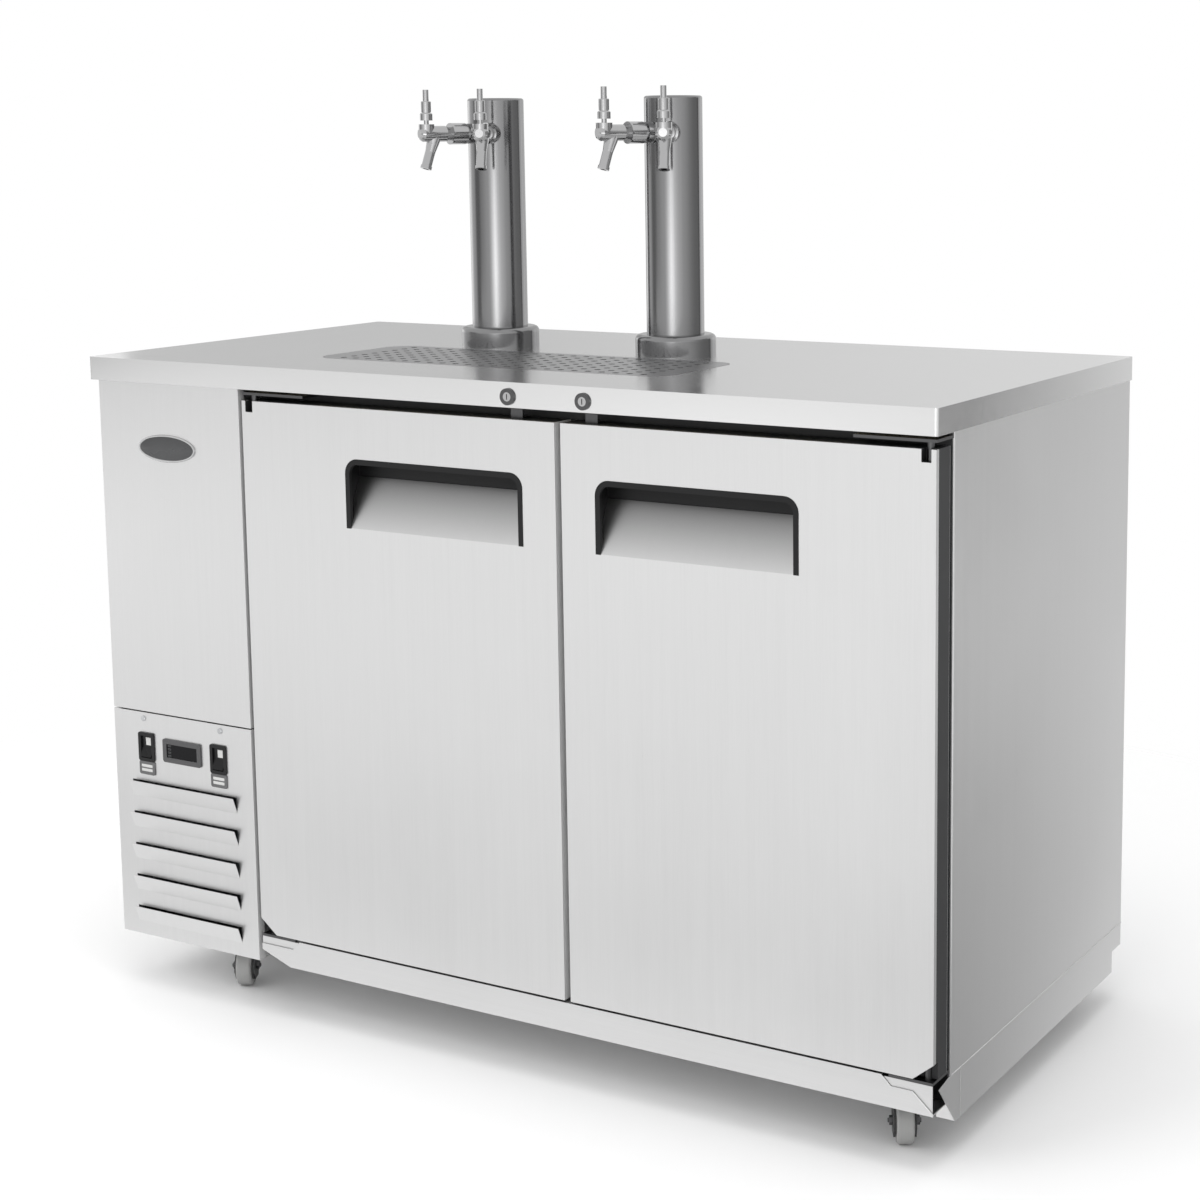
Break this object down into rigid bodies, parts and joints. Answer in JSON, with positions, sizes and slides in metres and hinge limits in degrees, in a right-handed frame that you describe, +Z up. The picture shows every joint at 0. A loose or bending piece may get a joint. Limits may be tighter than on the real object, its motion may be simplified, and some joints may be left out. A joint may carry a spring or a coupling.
{
  "type": "direct draw keg cooler",
  "caption": "Refrigerated keg cabinet on casters with a worktop, drip tray, column towers with taps, recessed door handles and a louvred machine panel.",
  "frame": {"origin": "on the floor below the middle of the worktop", "axes": "+X to the right seen from the doors, +Y to the back, +Z up"},
  "size_m": [1.468, 0.72, 1.434],
  "materials": {
    "satin_steel": "satin brushed stainless sheet",
    "polished_steel": "polished stainless",
    "zinc_steel": "plain bright sheet",
    "black_plastic": "moulded black plastic",
    "dark_plastic": "dark grey moulded plastic",
    "window": "gloss dark window",
    "gasket": "soft dark gasket",
    "insulation": "rigid foam",
    "black_paint": "black paint",
    "fin_alloy": "thin fin sheet",
    "grey_tread": "light grey tread",
    "door_core": "foam core in dark moulded edges"
  },
  "bodies": {
    "cabinet": {"worktop": "satin_steel", "drip_well": "satin_steel", "side_panels": "satin_steel", "back_panel": "zinc_steel", "insulation": "insulation", "liner": "zinc_steel", "worktop_filler": "insulation", "front_frame": "dark_plastic", "base_frame": "satin_steel", "base_strip": "satin_steel", "service_panel": "satin_steel", "louvre_panel": "satin_steel", "panel_screws": "zinc_steel", "controller_bezel": "black_plastic", "controller_window": "window", "switch_frames": "black_plastic", "hinge_brackets": "zinc_steel", "lock_barrels": "polished_steel", "tower_columns": "polished_steel", "tower_caps": "polished_steel", "tower_flanges": "polished_steel", "shanks": "polished_steel", "coupling_nuts": "polished_steel", "tap_bodies": "polished_steel", "evaporator_housing": "fin_alloy", "evaporator_coil": "fin_alloy", "compressor": "black_paint", "condenser": "fin_alloy", "fan_shroud": "dark_plastic", "fan_motors": "black_paint", "caster_plates": "zinc_steel"},
    "drip_plate": {"drip_plate": "satin_steel"},
    "left_door": {"left_door_skin": "satin_steel", "left_door_core": "door_core", "left_door_gasket": "gasket", "left_handle_cup": "black_plastic", "left_keeper": "zinc_steel"},
    "right_door": {"right_door_skin": "satin_steel", "right_door_core": "door_core", "right_door_gasket": "gasket", "right_handle_cup": "black_plastic", "right_keeper": "zinc_steel"},
    "left_lock_plug": {"left_lock_plug": "polished_steel"},
    "right_lock_plug": {"right_lock_plug": "polished_steel"},
    "left_rocker": {"left_rocker": "black_plastic"},
    "right_rocker": {"right_rocker": "black_plastic"},
    "tap_lever_1": {"tap_lever_1": "polished_steel"},
    "tap_lever_2": {"tap_lever_2": "polished_steel"},
    "tap_lever_3": {"tap_lever_3": "polished_steel"},
    "tap_lever_4": {"tap_lever_4": "polished_steel"},
    "fork_front_left": {"fork_front_left": "black_paint"},
    "wheel_front_left": {"wheel_front_left": "grey_tread"},
    "fork_front_right": {"fork_front_right": "black_paint"},
    "wheel_front_right": {"wheel_front_right": "grey_tread"},
    "fork_rear_left": {"fork_rear_left": "black_paint"},
    "wheel_rear_left": {"wheel_rear_left": "grey_tread"},
    "fork_rear_right": {"fork_rear_right": "black_paint"},
    "wheel_rear_right": {"wheel_rear_right": "grey_tread"},
    "condenser_fan": {"condenser_fan": "dark_plastic"},
    "evaporator_fan": {"evaporator_fan": "dark_plastic"}
  },
  "joints": [
    {"name": "drip_plate_lift", "type": "slide", "parent": "cabinet", "child": "drip_plate", "axis": [0, 0, 1], "range_m": [0, 0.12]},
    {"name": "left_door_hinge", "type": "hinge", "parent": "cabinet", "child": "left_door", "pos_m": [-0.407, -0.34, 0.55], "axis": [0, 0, -1], "range_deg": [0, 100]},
    {"name": "right_door_hinge", "type": "hinge", "parent": "cabinet", "child": "right_door", "pos_m": [0.717, -0.34, 0.55], "axis": [0, 0, 1], "range_deg": [0, 100]},
    {"name": "left_lock_turn", "type": "hinge", "parent": "cabinet", "child": "left_lock_plug", "pos_m": [0.075, -0.357, 1.0005], "axis": [0, -1, 0], "range_deg": [0, 90]},
    {"name": "right_lock_turn", "type": "hinge", "parent": "cabinet", "child": "right_lock_plug", "pos_m": [0.201, -0.357, 1.0005], "axis": [0, 1, 0], "range_deg": [0, 90]},
    {"name": "left_rocker_tilt", "type": "hinge", "parent": "cabinet", "child": "left_rocker", "pos_m": [-0.6485, -0.35, 0.399], "axis": [1, 0, 0], "range_deg": [0, 16]},
    {"name": "right_rocker_tilt", "type": "hinge", "parent": "cabinet", "child": "right_rocker", "pos_m": [-0.4965, -0.35, 0.399], "axis": [1, 0, 0], "range_deg": [0, 16]},
    {"name": "tap_lever_1_pull", "type": "hinge", "parent": "cabinet", "child": "tap_lever_1", "pos_m": [-0.30283, -0.03829, 1.371], "axis": [0.9063, -0.4226, 0], "range_deg": [0, 28]},
    {"name": "tap_lever_2_pull", "type": "hinge", "parent": "cabinet", "child": "tap_lever_2", "pos_m": [-0.19717, -0.03829, 1.371], "axis": [0.9063, 0.4226, 0], "range_deg": [0, 28]},
    {"name": "tap_lever_3_pull", "type": "hinge", "parent": "cabinet", "child": "tap_lever_3", "pos_m": [0.03317, -0.03829, 1.371], "axis": [0.9063, -0.4226, 0], "range_deg": [0, 28]},
    {"name": "tap_lever_4_pull", "type": "hinge", "parent": "cabinet", "child": "tap_lever_4", "pos_m": [0.13883, -0.03829, 1.371], "axis": [0.9063, 0.4226, 0], "range_deg": [0, 28]},
    {"name": "fork_front_left_swivel", "type": "hinge", "parent": "cabinet", "child": "fork_front_left", "pos_m": [-0.54, -0.255, 0.07], "axis": [0, 0, 1], "continuous": true},
    {"name": "wheel_front_left_roll", "type": "hinge", "parent": "fork_front_left", "child": "wheel_front_left", "pos_m": [-0.5275, -0.27665, 0.0315], "axis": [0.866, 0.5, 0], "continuous": true},
    {"name": "fork_front_right_swivel", "type": "hinge", "parent": "cabinet", "child": "fork_front_right", "pos_m": [0.64, -0.255, 0.07], "axis": [0, 0, 1], "continuous": true},
    {"name": "wheel_front_right_roll", "type": "hinge", "parent": "fork_front_right", "child": "wheel_front_right", "pos_m": [0.6525, -0.27665, 0.0315], "axis": [0.866, 0.5, 0], "continuous": true},
    {"name": "fork_rear_left_swivel", "type": "hinge", "parent": "cabinet", "child": "fork_rear_left", "pos_m": [-0.54, 0.255, 0.07], "axis": [0, 0, 1], "continuous": true},
    {"name": "wheel_rear_left_roll", "type": "hinge", "parent": "fork_rear_left", "child": "wheel_rear_left", "pos_m": [-0.5275, 0.23335, 0.0315], "axis": [0.866, 0.5, 0], "continuous": true},
    {"name": "fork_rear_right_swivel", "type": "hinge", "parent": "cabinet", "child": "fork_rear_right", "pos_m": [0.64, 0.255, 0.07], "axis": [0, 0, 1], "continuous": true},
    {"name": "wheel_rear_right_roll", "type": "hinge", "parent": "fork_rear_right", "child": "wheel_rear_right", "pos_m": [0.6525, 0.23335, 0.0315], "axis": [0.866, 0.5, 0], "continuous": true},
    {"name": "condenser_fan_spin", "type": "hinge", "parent": "cabinet", "child": "condenser_fan", "pos_m": [-0.573, -0.278, 0.234], "axis": [0, 1, 0], "continuous": true},
    {"name": "evaporator_fan_spin", "type": "hinge", "parent": "cabinet", "child": "evaporator_fan", "pos_m": [-0.297, 0.00845, 0.832], "axis": [1, 0, 0], "continuous": true}
  ]
}
